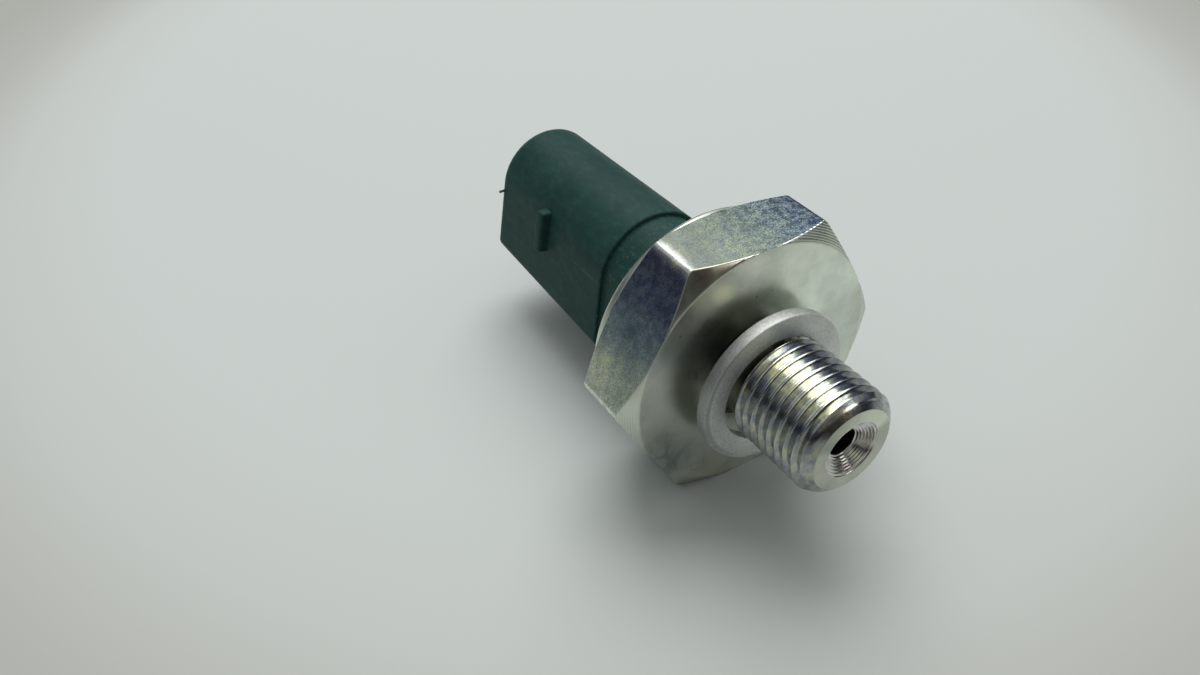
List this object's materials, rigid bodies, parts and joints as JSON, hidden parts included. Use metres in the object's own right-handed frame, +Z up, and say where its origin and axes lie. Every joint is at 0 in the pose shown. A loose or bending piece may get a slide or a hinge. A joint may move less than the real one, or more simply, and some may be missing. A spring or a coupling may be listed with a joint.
{
  "type": "oil pressure switch",
  "caption": "Screw-in oil pressure switch: plated hexagon body with a threaded, drilled stub and loose sealing washer, and a moulded connector held by a crimped rim.",
  "frame": {"origin": "where the thread's axis crosses the sealing plane, the front face of the loose washer", "axes": "-Y out of the threaded end, +Y out of the connector's mouth, +Z up, the hexagon lying on its lowest flat"},
  "size_m": [0.0276, 0.0485, 0.024],
  "materials": {
    "zinc_plated_steel": "bright zinc plating, passivated, with blue, violet and yellow-green interference colours",
    "washer_aluminium": "matte, stamped, with a burnished rim",
    "green_plastic": "dark blue-green glass-filled nylon with a fine satin grain",
    "black_rubber": "matte",
    "amber_film": "polyimide film, smooth",
    "plain_steel": "stamped and turned",
    "spring_steel": "drawn wire",
    "white_plastic": "natural, unfilled",
    "plain_brass": "turned and stamped",
    "tinned_brass": "stamped, matte tin plating",
    "black_resin": "poured, glossy"
  },
  "bodies": {
    "body": {"hex_body": "zinc_plated_steel", "sealing_washer": "washer_aluminium", "diaphragm_seal": "black_rubber", "diaphragm_film_oil_side": "amber_film", "diaphragm_film_dry_side": "amber_film", "contact_plate": "plain_steel", "calibration_spring": "spring_steel", "spring_cap": "plain_brass", "adjusting_screw": "plain_brass", "threaded_insert": "plain_brass", "terminal_blade": "tinned_brass", "connector_housing": "green_plastic", "housing_seal": "black_rubber", "sealing_compound": "black_resin"},
    "switching_parts": {"plunger": "white_plastic", "contact_disc": "plain_brass"}
  },
  "joints": [
    {"name": "plunger_slide", "type": "slide", "parent": "body", "child": "switching_parts", "axis": [0, 1, 0], "range_m": [0, 0.0005], "stiffness_N_per_m": 1000, "springref_m": -0.005, "deforming": ["calibration_spring"]}
  ]
}
